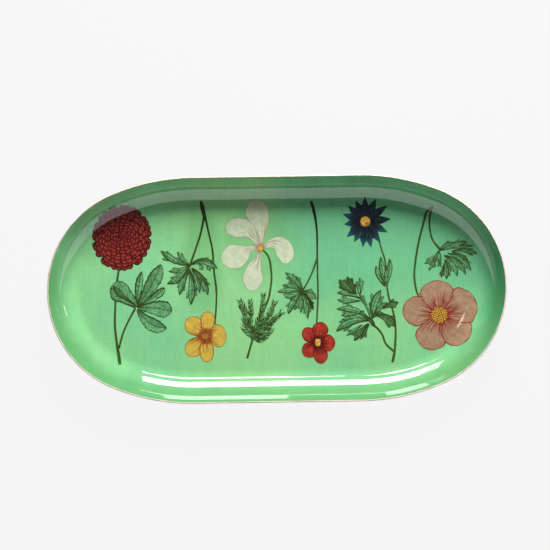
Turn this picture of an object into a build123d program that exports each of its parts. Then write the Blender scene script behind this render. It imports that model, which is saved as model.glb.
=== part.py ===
from build123d import *

import os
from math import atan2, cos, degrees, radians, sin

# A shallow oval serving tray: one pressed steel pan, coated front and back, edged with a pale
# line and painted with six cut flowers.
#
# Millimetres. The origin is the centre of the underside, X runs along the tray, Y across it
# and Z up. Every painted shape is a thin film that lies on the green ground coat and follows it
# up the wall.

# Driving dimensions
length = 460.0
breadth = 227.0
straight_side = 166.0  # straight stretch in the middle of each long side
end_radius = 105.0  # outline radius of the two ends
sheet = 0.8  # steel thickness
coat = 0.15  # ground and back coat thickness
paint = 0.12  # painted film thickness
cove_radius = 31
wall_slope = 60
wall_straight = 11.5
line_overlap = 0.7  # how far the pale edge line laps onto the inside
line_bead = 0.3  # how far it stands out past the cut edge
line_round = 0.12  # rounding of its outer corners

# Height of the steel's upper face where the floor is flat
steel_top = coat + sheet

# The wall in section: x outwards from the wall's foot, y up. Every layer is the same curve at
# another offset from the steel's upper face.
slope = radians(wall_slope)
cove_centre = Vector(0, steel_top + cove_radius)
wall_along = Vector(cos(slope), sin(slope))
wall_below = Vector(sin(slope), -cos(slope))
coat_end = wall_straight - line_overlap  # where the ground coat stops under the edge line


def wall_point(offset, reach):
    """Return the point on the wall at an offset from the steel and a distance above the bend."""
    return cove_centre + (cove_radius - offset) * wall_below + reach * wall_along


line_corner = wall_point(-sheet - coat, wall_straight + line_bead)
wall_run = line_corner.X  # plan width of the whole wall, edge line included

# The plan outline: straight sides, then shoulder arcs that run tangent into the end arcs
end_centre = length / 2 - end_radius
side_half = straight_side / 2
shoulder_step = end_centre - side_half
shoulder_radius = (shoulder_step**2 + (breadth / 2) ** 2 - end_radius**2) / (breadth - 2 * end_radius)
shoulder_drop = shoulder_radius - breadth / 2
end_turn = degrees(atan2(shoulder_drop, shoulder_step))


def layer_section(low, high, reach):
    """Draw a wall layer in section between two offsets from the steel's upper face."""
    with BuildSketch() as section:
        with BuildLine():
            for offset in (low, high):
                CenterArc(cove_centre, cove_radius - offset, -90, wall_slope)
                Line(wall_point(offset, 0), wall_point(offset, reach))
            Line((0, steel_top + low), (0, steel_top + high))
            Line(wall_point(low, reach), wall_point(high, reach))
        make_face()
    return section.sketch


def line_section():
    """Draw the pale edge line in section: a lap on the inside and a bead over the cut edge."""
    bead_end = wall_straight + line_bead
    with BuildSketch() as section:
        with BuildLine():
            Polyline(
                wall_point(0, wall_straight),
                wall_point(0, coat_end),
                wall_point(coat, coat_end),
                wall_point(coat, bead_end),
                line_corner,
                wall_point(-sheet - coat, wall_straight),
                close=True,
            )
        make_face()
        fillet(vertices().sort_by(SortBy.DISTANCE)[-2:], line_round)
    return section.sketch


def plan_outline(inset):
    """Draw the tray's plan outline as a face, moved inwards by inset."""
    with BuildSketch() as plan:
        with BuildLine():
            CenterArc((end_centre, 0), end_radius - inset, 0, end_turn)
            CenterArc((side_half, -shoulder_drop), shoulder_radius - inset, end_turn, 90 - end_turn)
            Line((side_half, breadth / 2 - inset), (0, breadth / 2 - inset))
            mirror(about=Plane.YZ)
            mirror(about=Plane.XZ)
        make_face()
    return plan.sketch


def wall_ring(section):
    """Carry a wall section all round the tray: turned at the ends and shoulders, straight between."""
    end_plane = Plane(origin=(length / 2 - wall_run, 0, 0), x_dir=(1, 0, 0), z_dir=(0, -1, 0))
    side_plane = Plane(origin=(side_half, breadth / 2 - wall_run, 0), x_dir=(0, 1, 0), z_dir=(1, 0, 0))
    with BuildPart() as ring:
        with BuildSketch(end_plane):
            add(section)
        revolve(axis=Axis((end_centre, 0, 0), (0, 0, 1)), revolution_arc=end_turn)
        with BuildSketch(side_plane):
            add(section)
        revolve(axis=Axis((side_half, -shoulder_drop, 0), (0, 0, -1)), revolution_arc=90 - end_turn)
        with BuildSketch(side_plane):
            add(section)
        extrude(amount=-side_half)
        mirror(about=Plane.YZ)
        mirror(about=Plane.XZ)
    return ring.part


def tray_layer(low, high, reach):
    """Build a layer of even thickness that covers the floor and climbs the wall."""
    with BuildPart() as layer:
        with BuildSketch(Plane.XY.offset(steel_top + low)):
            add(plan_outline(wall_run))
        extrude(amount=high - low)
        add(wall_ring(layer_section(low, high, reach)))
    return layer.part


def blade(angle, reach, width, shoulder=0.6, pointed=False):
    """Draw a petal or leaflet that grows from the origin at an angle, widest at its shoulder."""
    root = Vector(0, 0)
    left = Vector(shoulder * reach, width / 2)
    right = Vector(shoulder * reach, -width / 2)
    tip = Vector(reach, 0)
    with BuildSketch() as shape:
        with BuildLine():
            if pointed:
                Spline(root, left, tip)
                Spline(tip, right, root)
            else:
                Spline(root, left, tip, right, root)
        make_face()
    return shape.sketch.rotate(Axis.Z, angle)


def clawed_petal(angle, reach, width, shoulder):
    """Draw a petal that stays as narrow as a strap before it widens to its shoulder."""
    strap = claw_width / 2
    with BuildSketch() as shape:
        with BuildLine():
            outline = Spline(
                (0, strap),
                (claw_length * reach, strap),
                (shoulder * reach, width / 2),
                (reach, 0),
                (shoulder * reach, -width / 2),
                (claw_length * reach, -strap),
                (0, -strap),
            )
            Line(outline @ 1, outline @ 0)
        make_face()
    return shape.sketch.rotate(Axis.Z, angle)


def spray(*sizes, pointed=False):
    """Draw several petals or leaflets that grow from one point."""
    with BuildSketch() as shape:
        for size in sizes:
            add(blade(*size, pointed=pointed))
        Circle(hub_radius)
    return shape.sketch


def stalk(width, *points):
    """Draw a stem of even width along a smooth line through the points."""
    with BuildSketch() as shape:
        with BuildLine():
            Spline(*points)
        trace(line_width=width)
    return shape.sketch


# The painting. Each plant is set out from its own flower's centre, and each painted shape is a
# prism of the plan drawing cut down to the thin layer that lies on the ground coat. A petal or
# leaflet is given as its angle, reach and width, then the place of its shoulder along its reach.
hub_radius = 1.6  # small disc that joins the petals or leaflets of a spray
claw_length = 0.25  # strap of a clawed petal, as a share of its reach
claw_width = 5.0
stem_width = 1.9
prism_height = 2 * cove_radius
dahlia_plane = Plane(origin=(-155.3, 53.7, 0))
buttercup_plane = Plane(origin=(-72.7, -46.4, 0))
white_plane = Plane(origin=(-15.9, 41.2, 0))
red_plane = Plane(origin=(40.5, -54.6, 0))
cornflower_plane = Plane(origin=(90.0, 66.7, 0))
anemone_plane = Plane(origin=(163.1, -28.5, 0))
paint_layer = tray_layer(coat, coat + paint, coat_end)

# The tray itself
with BuildPart() as steel_pan:
    add(tray_layer(-sheet, 0, wall_straight))

with BuildPart() as ground_coat:
    add(tray_layer(0, coat, coat_end))

with BuildPart() as back_coat:
    add(tray_layer(-sheet - coat, -sheet, wall_straight))

with BuildPart() as rim_line:
    add(wall_ring(line_section()))

# Dahlia: a scalloped round bloom on a long stem, with one palmate leaf beside the stem
bloom_across = 50.0
bloom_along = 56.5
bloom_tilt = -8.5
scallops = 20
scallop_radius = 5.3
with BuildSketch() as dahlia_bloom:
    Ellipse(bloom_across / 2, bloom_along / 2)
    for turn in range(scallops):
        angle = radians(360 * turn / scallops)
        with Locations((bloom_across / 2 * cos(angle), bloom_along / 2 * sin(angle))):
            Circle(scallop_radius)
dahlia_flower = dahlia_bloom.sketch.rotate(Axis.Z, bloom_tilt)
dahlia_leaf_hub = (13.1, -69.7)
dahlia_leaflets = spray((142.5, 31, 23, 0.65)) + spray(
    (82, 36, 9, 0.5),
    (60, 49.5, 15, 0.5),
    (34, 34, 10.5),
    (-6, 36, 17),
    (-34, 36.5, 14.5),
    pointed=True,
)

with BuildSketch() as dahlia_stalks:
    add(stalk(stem_width, (-3.1, -27), (-5.5, -39.4), (-8.5, -71.4), (-9, -86), (-7.9, -101), (-4.3, -127.5)))
    add(stalk(stem_width, dahlia_leaf_hub, (4.8, -83.6), (-0.3, -94.5), (-5, -109.5), (-6.2, -117.4)))

with BuildPart() as dahlia_petals:
    with BuildSketch(dahlia_plane):
        add(dahlia_flower)
    extrude(amount=prism_height)
    add(paint_layer, mode=Mode.INTERSECT)

with BuildPart() as dahlia_leaf:
    with BuildSketch(dahlia_plane):
        with Locations(dahlia_leaf_hub):
            add(dahlia_leaflets)
    extrude(amount=prism_height)
    add(paint_layer, mode=Mode.INTERSECT)

with BuildPart() as dahlia_stem:
    with BuildSketch(dahlia_plane):
        add(dahlia_stalks.sketch)
        add(dahlia_flower, mode=Mode.SUBTRACT)
        with Locations(dahlia_leaf_hub):
            add(dahlia_leaflets, mode=Mode.SUBTRACT)
    extrude(amount=prism_height)
    add(paint_layer, mode=Mode.INTERSECT)

# Buttercup: five round petals that hang from a long forked stem, with a cut leaf on its branch
buttercup_heart_radius = 3.8
buttercup_flower = spray(
    (141.5, 26.3, 18.5),
    (81, 24.3, 15),
    (1, 21, 23.5, 0.55),
    (-84, 26.5, 15.5),
    (-138.5, 26.2, 18.5),
)
buttercup_leaf_hub = (-14.4, 71.2)
buttercup_leaflets = spray(
    (154.5, 32.5, 11),
    (138, 22, 8),
    (171, 23, 6),
    (-140.5, 29, 8),
    (-168, 22, 6),
    (-126, 23, 7),
    (-111, 31.5, 8),
    (-89.5, 39.5, 12, 0.5),
    (-58, 34, 11),
    (-70, 30, 8),
    (-5, 29, 8),
    (24.5, 19, 8),
    pointed=True,
)
buttercup_main_stalk = stalk(
    stem_width,
    (-2.3, 135.6),
    (0.4, 127.5),
    (2.3, 117.5),
    (4.6, 105.5),
    (8.3, 87.4),
    (9.9, 62.4),
    (11.5, 40),
    (9.7, 10),
)
with BuildSketch() as buttercup_stalks:
    add(buttercup_main_stalk)
    add(stalk(stem_width, (0.8, 121), (-4, 100.6), (-8.2, 88.6), buttercup_leaf_hub))
    add(stalk(2 * stem_width, (-1.6, 134), (0.3, 127.5), (1.8, 119)))

with BuildPart() as buttercup_heart:
    with BuildSketch(buttercup_plane):
        Circle(buttercup_heart_radius)
    extrude(amount=prism_height)
    add(paint_layer, mode=Mode.INTERSECT)

with BuildPart() as buttercup_petals:
    with BuildSketch(buttercup_plane):
        add(buttercup_flower)
        Circle(buttercup_heart_radius, mode=Mode.SUBTRACT)
    extrude(amount=prism_height)
    add(paint_layer, mode=Mode.INTERSECT)

with BuildPart() as buttercup_stems:
    with BuildSketch(buttercup_plane):
        add(buttercup_stalks.sketch)
        add(buttercup_flower, mode=Mode.SUBTRACT)
    extrude(amount=prism_height)
    add(paint_layer, mode=Mode.INTERSECT)

with BuildPart() as buttercup_leaf:
    with BuildSketch(buttercup_plane):
        with Locations(buttercup_leaf_hub):
            add(buttercup_leaflets)
        add(buttercup_stalks.sketch, mode=Mode.SUBTRACT)
    extrude(amount=prism_height)
    add(paint_layer, mode=Mode.INTERSECT)

# White flower: five broad petals about a small heart, on a stem that passes behind a fern leaf
white_heart_radius = 3.4
with BuildSketch() as white_petals:
    add(clawed_petal(96.5, 47.8, 22.5, 0.75))
    add(clawed_petal(151.5, 39.8, 22, 0.7))
    add(clawed_petal(-160, 40.5, 26, 0.65))
    add(clawed_petal(-105, 44, 20, 0.7))
    add(clawed_petal(-12, 33, 25, 0.7))
    Circle(white_heart_radius)
fern_hub = (-9.3, -89.9)
fern_fronds = spray(
    (109, 38, 12, 0.5),
    (95, 38, 8),
    (76, 43, 8),
    (61.5, 43, 7),
    (40.5, 37.5, 9),
    (21.5, 19, 7),
    pointed=True,
)
white_stalk = stalk(
    stem_width,
    (2.6, -2.6),
    (6.9, -7.1),
    (9.3, -14.1),
    (10.8, -29.2),
    (9.4, -41.2),
    (6.2, -54.1),
    (-1, -68),
    (-7.3, -83.9),
    (-11, -96.9),
    (-15.2, -110.8),
)

with BuildPart() as white_flower_heart:
    with BuildSketch(white_plane):
        Circle(white_heart_radius)
    extrude(amount=prism_height)
    add(paint_layer, mode=Mode.INTERSECT)

with BuildPart() as white_flower_petals:
    with BuildSketch(white_plane):
        add(white_petals.sketch)
        Circle(white_heart_radius, mode=Mode.SUBTRACT)
    extrude(amount=prism_height)
    add(paint_layer, mode=Mode.INTERSECT)

with BuildPart() as white_flower_stem:
    with BuildSketch(white_plane):
        add(white_stalk)
        Circle(white_heart_radius, mode=Mode.SUBTRACT)
        add(white_petals.sketch, mode=Mode.SUBTRACT)
        with Locations(fern_hub):
            add(fern_fronds, mode=Mode.SUBTRACT)
    extrude(amount=prism_height)
    add(paint_layer, mode=Mode.INTERSECT)

with BuildPart() as fern_leaf:
    with BuildSketch(white_plane):
        with Locations(fern_hub):
            add(fern_fronds)
    extrude(amount=prism_height)
    add(paint_layer, mode=Mode.INTERSECT)

# Red flower: five small petals on a long thin stem, with a finely cut leaf on its branch
red_heart_radius = 3.3
red_petals = spray(
    (78, 20.5, 15.5),
    (-1, 17, 17),
    (-75, 21, 13.5),
    (-141.5, 18.5, 15),
    (141, 18, 14),
)
red_leaf_hub = (-14.5, 52.2)
red_leaflets = spray(
    (132.5, 26, 8),
    (-175.5, 25, 10),
    (164, 21.5, 5),
    (-122, 28.5, 9),
    (-95, 22, 6),
    (-79, 29.5, 8),
    (-61, 21.5, 6),
    (-28, 16, 7),
    pointed=True,
)
with BuildSketch() as red_stalks:
    add(stalk(stem_width, (-4.9, 142.6), (-3.1, 136), (-0.7, 125), (0.6, 112), (0.6, 50), (-1, 18)))
    add(stalk(stem_width, (0.5, 86), (-4.2, 72.1), (-9.4, 61.2), red_leaf_hub))
    add(stalk(1.5 * stem_width, (-4.7, 142), (-3.1, 136), (-0.7, 125)))

with BuildPart() as red_flower_heart:
    with BuildSketch(red_plane):
        Circle(red_heart_radius)
    extrude(amount=prism_height)
    add(paint_layer, mode=Mode.INTERSECT)

with BuildPart() as red_flower_petals:
    with BuildSketch(red_plane):
        add(red_petals)
        Circle(red_heart_radius, mode=Mode.SUBTRACT)
    extrude(amount=prism_height)
    add(paint_layer, mode=Mode.INTERSECT)

with BuildPart() as red_flower_stems:
    with BuildSketch(red_plane):
        add(red_stalks.sketch)
        add(red_petals, mode=Mode.SUBTRACT)
    extrude(amount=prism_height)
    add(paint_layer, mode=Mode.INTERSECT)

with BuildPart() as red_flower_leaf:
    with BuildSketch(red_plane):
        with Locations(red_leaf_hub):
            add(red_leaflets)
        add(red_stalks.sketch, mode=Mode.SUBTRACT)
    extrude(amount=prism_height)
    add(paint_layer, mode=Mode.INTERSECT)

# Cornflower: a ring of narrow pointed petals, small bracts up the stem and a large lobed leaf
cornflower_heart_radius = 5.2
cornflower_ray_count = 14
cornflower_ray_reach = 26.0
cornflower_ray_width = 8.0
first_ray = 12.0
with BuildSketch() as cornflower_rays:
    with PolarLocations(0, cornflower_ray_count, start_angle=first_ray):
        add(blade(0, cornflower_ray_reach, cornflower_ray_width, 0.5, pointed=True))
    Circle(cornflower_heart_radius + hub_radius)
bract_hub = (19.6, -63.3)
bracts = spray((119, 20.5, 7), (100, 27.5, 7), (81, 26, 7, 0.5), pointed=True)
cornflower_leaf_hub = (4.0, -101.1)
cornflower_leaflets = spray(
    (123.5, 51.5, 14, 0.75),
    (104, 45.5, 7),
    (141, 44.5, 10, 0.7),
    (159.5, 37.5, 10, 0.7),
    (-166, 36, 11, 0.7),
    (-179, 29.5, 8),
    (-132, 25.5, 11),
    (71, 34, 11),
    (35, 33.5, 8),
    (-11.5, 23, 10),
    pointed=True,
)
cornflower_main_stalk = stalk(
    stem_width,
    (12.8, -17),
    (16.1, -29.2),
    (18.9, -38.3),
    (20.3, -50.3),
    (20.6, -63.3),
    (22.8, -78.4),
    (26.6, -91.4),
    (28.7, -105.5),
    (28.5, -120.5),
    (27.5, -131.4),
    (25.2, -142.4),
)
with BuildSketch() as cornflower_stalks:
    add(cornflower_main_stalk)
    add(stalk(stem_width, cornflower_leaf_hub, (10.4, -107.7), (15.3, -114.3), (18.7, -123.3), (26.5, -131)))

with BuildPart() as cornflower_heart:
    with BuildSketch(cornflower_plane):
        Circle(cornflower_heart_radius)
    extrude(amount=prism_height)
    add(paint_layer, mode=Mode.INTERSECT)

with BuildPart() as cornflower_petals:
    with BuildSketch(cornflower_plane):
        add(cornflower_rays.sketch)
        Circle(cornflower_heart_radius, mode=Mode.SUBTRACT)
    extrude(amount=prism_height)
    add(paint_layer, mode=Mode.INTERSECT)

with BuildPart() as cornflower_stem:
    with BuildSketch(cornflower_plane):
        add(cornflower_stalks.sketch)
        add(cornflower_rays.sketch, mode=Mode.SUBTRACT)
        with Locations(bract_hub):
            add(bracts, mode=Mode.SUBTRACT)
        with Locations(cornflower_leaf_hub):
            add(cornflower_leaflets, mode=Mode.SUBTRACT)
    extrude(amount=prism_height)
    add(paint_layer, mode=Mode.INTERSECT)

with BuildPart() as cornflower_bracts:
    with BuildSketch(cornflower_plane):
        with Locations(bract_hub):
            add(bracts)
    extrude(amount=prism_height)
    add(paint_layer, mode=Mode.INTERSECT)

with BuildPart() as cornflower_leaf:
    with BuildSketch(cornflower_plane):
        with Locations(cornflower_leaf_hub):
            add(cornflower_leaflets)
    extrude(amount=prism_height)
    add(paint_layer, mode=Mode.INTERSECT)

# Anemone: five wide petals round a broad boss, two stems from one tip and a parsley-like leaf
boss_radius = 8.5
anemone_flower = spray(
    (97, 35.5, 31, 0.65),
    (28, 38.5, 35, 0.65),
    (-47, 36.5, 32, 0.65),
    (-112, 36.5, 29, 0.65),
    (177, 37.5, 29, 0.65),
)
anemone_leaf_hub = (2.0, 65.5)
anemone_leaflets = spray(
    (-137.5, 23, 8),
    (-121, 24.5, 7),
    (-96, 14.5, 6),
    (-88, 28.5, 8, 0.75),
    (-77.5, 30, 6),
    (-58.5, 31.5, 9),
    (-40, 36, 12, 0.75),
    (-21.5, 31.5, 10),
    (-4.5, 37.5, 10),
    (6, 34, 8),
    (18.5, 28.5, 8),
    (29, 14.5, 6),
    pointed=True,
)
anemone_main_stalk = stalk(
    stem_width,
    (-6.4, 108.4),
    (-10.4, 105.2),
    (-14.1, 94.2),
    (-20.5, 70.3),
    (-24.6, 38.4),
    (-23.1, 26.4),
    (-18, 14),
)
with BuildSketch() as anemone_stalks:
    add(anemone_main_stalk)
    add(stalk(stem_width, (-6.4, 108.4), (-8.1, 96.1), (-8.2, 86.1), (-5.9, 76.1), anemone_leaf_hub))

with BuildPart() as anemone_boss:
    with BuildSketch(anemone_plane):
        Circle(boss_radius)
    extrude(amount=prism_height)
    add(paint_layer, mode=Mode.INTERSECT)

with BuildPart() as anemone_petals:
    with BuildSketch(anemone_plane):
        add(anemone_flower)
        Circle(boss_radius, mode=Mode.SUBTRACT)
    extrude(amount=prism_height)
    add(paint_layer, mode=Mode.INTERSECT)

with BuildPart() as anemone_stems:
    with BuildSketch(anemone_plane):
        add(anemone_stalks.sketch)
        add(anemone_flower, mode=Mode.SUBTRACT)
    extrude(amount=prism_height)
    add(paint_layer, mode=Mode.INTERSECT)

with BuildPart() as anemone_leaf:
    with BuildSketch(anemone_plane):
        with Locations(anemone_leaf_hub):
            add(anemone_leaflets)
        add(anemone_stalks.sketch, mode=Mode.SUBTRACT)
        add(anemone_flower, mode=Mode.SUBTRACT)
    extrude(amount=prism_height)
    add(paint_layer, mode=Mode.INTERSECT)

# Every finished piece is named and written as its own file
pieces = {
    "steel_pan": steel_pan,
    "ground_coat": ground_coat,
    "back_coat": back_coat,
    "rim_line": rim_line,
    "dahlia_petals": dahlia_petals,
    "dahlia_stem": dahlia_stem,
    "dahlia_leaf": dahlia_leaf,
    "buttercup_petals": buttercup_petals,
    "buttercup_heart": buttercup_heart,
    "buttercup_stems": buttercup_stems,
    "buttercup_leaf": buttercup_leaf,
    "white_flower_petals": white_flower_petals,
    "white_flower_heart": white_flower_heart,
    "white_flower_stem": white_flower_stem,
    "fern_leaf": fern_leaf,
    "red_flower_petals": red_flower_petals,
    "red_flower_heart": red_flower_heart,
    "red_flower_stems": red_flower_stems,
    "red_flower_leaf": red_flower_leaf,
    "cornflower_petals": cornflower_petals,
    "cornflower_heart": cornflower_heart,
    "cornflower_stem": cornflower_stem,
    "cornflower_bracts": cornflower_bracts,
    "cornflower_leaf": cornflower_leaf,
    "anemone_petals": anemone_petals,
    "anemone_boss": anemone_boss,
    "anemone_stems": anemone_stems,
    "anemone_leaf": anemone_leaf,
}
os.makedirs("parts", exist_ok=True)
for name, piece in pieces.items():
    piece.part.label = name
    export_step(piece.part, f"parts/{name}.step")
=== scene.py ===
from math import atan2, cos, pi, radians, sin, tan

import bpy
import numpy as np
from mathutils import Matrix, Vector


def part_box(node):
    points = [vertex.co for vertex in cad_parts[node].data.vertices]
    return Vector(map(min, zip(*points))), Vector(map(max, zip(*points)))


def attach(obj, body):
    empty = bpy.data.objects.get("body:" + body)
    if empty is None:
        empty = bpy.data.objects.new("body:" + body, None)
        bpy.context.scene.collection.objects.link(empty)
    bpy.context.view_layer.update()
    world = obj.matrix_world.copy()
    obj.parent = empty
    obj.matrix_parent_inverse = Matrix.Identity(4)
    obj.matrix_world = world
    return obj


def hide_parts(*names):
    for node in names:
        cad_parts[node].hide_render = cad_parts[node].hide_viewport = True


# The looks of the painted tray: smooth enamel over the steel pan, and every flower, leaf
# and stem as thin brushwork that lies on the ground coat.
#
# This script works in millimetres in the CAD's frame and turns them into metres when it makes
# a mesh. The painting has its own plan, x to the right and y towards the far wall, in
# millimetres from the middle of the picture.

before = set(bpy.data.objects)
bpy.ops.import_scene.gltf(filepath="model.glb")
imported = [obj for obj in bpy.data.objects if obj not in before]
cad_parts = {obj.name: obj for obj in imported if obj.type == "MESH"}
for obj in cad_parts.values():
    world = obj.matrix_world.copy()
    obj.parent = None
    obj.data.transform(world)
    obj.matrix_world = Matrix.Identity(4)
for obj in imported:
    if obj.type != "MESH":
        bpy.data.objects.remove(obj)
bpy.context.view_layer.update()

metres = 0.001  # one millimetre in Blender's units
draw = np.random.default_rng(11)

# The tray's driving dimensions, as in the CAD
length = 460.0
breadth = 227.0
straight_side = 166.0
end_radius = 105.0
sheet = 0.8
coat = 0.15
paint = 0.12
cove_radius = 31.0
wall_slope = radians(60.0)
wall_straight = 11.5
line_overlap = 0.7
line_bead = 0.3

steel_top = coat + sheet
coat_end = wall_straight - line_overlap
wall_run = (cove_radius + steel_top) * sin(wall_slope) + (wall_straight + line_bead) * cos(wall_slope)
end_centre = length / 2 - end_radius
side_half = straight_side / 2
shoulder_step = end_centre - side_half
shoulder_radius = (shoulder_step**2 + (breadth / 2) ** 2 - end_radius**2) / (breadth - 2 * end_radius)
shoulder_drop = shoulder_radius - breadth / 2
end_turn = atan2(shoulder_drop, shoulder_step)


# -------------------- the tray's surface


def wall_point(offset, reach):
    """Plan run and height of a point on the wall, off the steel and above the bend."""
    radius = cove_radius - offset
    run = radius * sin(wall_slope) + reach * cos(wall_slope)
    height = steel_top + cove_radius - radius * cos(wall_slope) + reach * sin(wall_slope)
    return run, height


def wall_inset(x, y):
    """Distance inwards from the outline of points on the plan."""
    x, y = np.abs(x), np.abs(y)
    straight = breadth / 2 - y
    shoulder = shoulder_radius - np.hypot(x - side_half, y + shoulder_drop)
    end = end_radius - np.hypot(x - end_centre, y)
    on_end = (x - side_half) * shoulder_drop > (y + shoulder_drop) * shoulder_step
    return np.where(x <= side_half, straight, np.where(on_end, end, shoulder))


def surface_height(x, y, offset):
    """Height of the layer surface that lies at an offset from the steel's upper face."""
    run = np.maximum(wall_run - wall_inset(x, y), 0)
    radius = cove_radius - offset
    bend_end = radius * sin(wall_slope)
    bend = np.minimum(run, bend_end)
    straight = np.maximum(run - bend_end, 0) * tan(wall_slope)
    return steel_top + cove_radius - np.sqrt(radius**2 - bend**2) + straight


def outline_stations(end_steps=64, shoulder_steps=26, side_steps=14):
    """Points and outward directions all round the outline, anticlockwise from +X."""
    end = np.linspace(0, end_turn, end_steps, endpoint=False)
    shoulder = np.linspace(end_turn, pi / 2, shoulder_steps, endpoint=False)
    side = np.linspace(side_half, 0, side_steps + 1)
    turn = np.concatenate([end, shoulder, np.full(len(side), pi / 2)])
    ways = np.stack([np.cos(turn), np.sin(turn)], 1)
    ways[turn == pi / 2] = (0, 1)
    points = np.concatenate([
        (end_centre, 0) + end_radius * ways[: len(end)],
        (side_half, -shoulder_drop) + shoulder_radius * ways[len(end) : len(end) + len(shoulder)],
        np.stack([side, np.full(len(side), breadth / 2)], 1),
    ])
    quarter = np.concatenate([points, ways], 1)
    flip_x = np.array([-1, 1, -1, 1])
    flip_y = np.array([1, -1, 1, -1])
    loop = np.concatenate([
        quarter[:-1],
        (quarter[::-1] * flip_x)[:-1],
        (quarter * flip_x * flip_y)[:-1],
        (quarter[::-1] * flip_y)[:-1],
    ])
    return loop[:, :2], loop[:, 2:]


stations, outwards = outline_stations()


def section_row(run, height):
    """One row of points round the tray, at a plan run from the wall's foot and a height."""
    plan = stations + outwards * (run - wall_run)
    return np.column_stack([plan, np.full(len(plan), height)])


def floor_row(share, height):
    """One row on the floor, a share of the way from the wall's foot to the middle line."""
    foot = stations - outwards * wall_run
    spine = foot * (0.62, 0)
    plan = foot * (1 - share) + spine * share
    return np.column_stack([plan, np.full(len(plan), height)])


def layer_rows(offset, reach, bend_steps=36, floor_steps=10):
    """Rows of one face of a layer, from the middle of the floor out to the top of the wall."""
    base = steel_top + offset
    rows = [floor_row(1 - step / floor_steps, base) for step in range(floor_steps)]
    radius = cove_radius - offset
    for step in range(bend_steps + 1):
        turn = wall_slope * step / bend_steps
        rows.append(section_row(radius * sin(turn), steel_top + cove_radius - radius * cos(turn)))
    rows.append(section_row(*wall_point(offset, reach / 2)))
    rows.append(section_row(*wall_point(offset, reach)))
    return rows


def new_piece(name, points, faces, marks, material, slot, *nodes, crease=35.0):
    """Make a finished piece that rides on the tray and stands for CAD nodes."""
    mesh = bpy.data.meshes.new(name)
    mesh.from_pydata((np.asarray(points) * metres).tolist(), [], faces)
    for label, values in marks.items():
        values = np.asarray(values, np.float32)
        kind = "FLOAT" if values.ndim == 1 else "FLOAT_VECTOR"
        attribute = mesh.attributes.new(label, kind, "POINT")
        attribute.data.foreach_set("value" if kind == "FLOAT" else "vector", values.ravel())
    mesh.shade_smooth()
    mesh.set_sharp_from_angle(angle=radians(crease))
    mesh.materials.append(material)
    piece = bpy.data.objects.new(name, mesh)
    bpy.context.scene.collection.objects.link(piece)
    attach(piece, "root")
    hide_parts(*nodes)


def swept_piece(name, rows, closed, material, slot, node):
    """Make a piece from rows of points round the tray.

    A closed section joins its last row to its first. An open one starts and ends on the floor's middle
    line, where the two halves of a row share their points.
    """
    count = len(stations)
    grid = np.arange(len(rows) * count).reshape(len(rows), count)
    if closed:
        grid = np.concatenate([grid, grid[:1]])
    else:
        mirrored = (count - np.arange(count)) % count
        shared = np.minimum(np.arange(count), mirrored)
        grid[0] = grid[0, shared]
        grid[-1] = grid[-1, shared]
    onwards = np.roll(grid, -1, axis=1)
    faces = np.stack([grid[:-1], grid[1:], onwards[1:], onwards[:-1]], -1).reshape(-1, 4)
    kept, corners = np.unique(faces, return_inverse=True)
    points = np.concatenate(rows)[kept]
    inset = wall_inset(points[:, 0], points[:, 1])
    new_piece(name, points, corners.reshape(-1, 4).tolist(), {"inset": inset}, material, slot, node)


# -------------------- material graphs


def colour(red, green, blue):
    """A linear colour from screen values of 0 to 255."""
    screen = np.array([red, green, blue]) / 255
    linear = np.where(screen <= 0.04045, screen / 12.92, ((screen + 0.055) / 1.055) ** 2.4)
    return (*linear.tolist(), 1.0)


class Wire:
    """A value in a node graph. Arithmetic on it adds math nodes."""

    def __init__(self, graph, socket):
        self.graph = graph
        self.socket = socket

    def __add__(self, other):
        return self.graph.math("ADD", self, other)

    def __sub__(self, other):
        return self.graph.math("SUBTRACT", self, other)

    def __mul__(self, other):
        return self.graph.math("MULTIPLY", self, other)

    def __truediv__(self, other):
        return self.graph.math("DIVIDE", self, other)

    def __abs__(self):
        return self.graph.math("ABSOLUTE", self)


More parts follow.
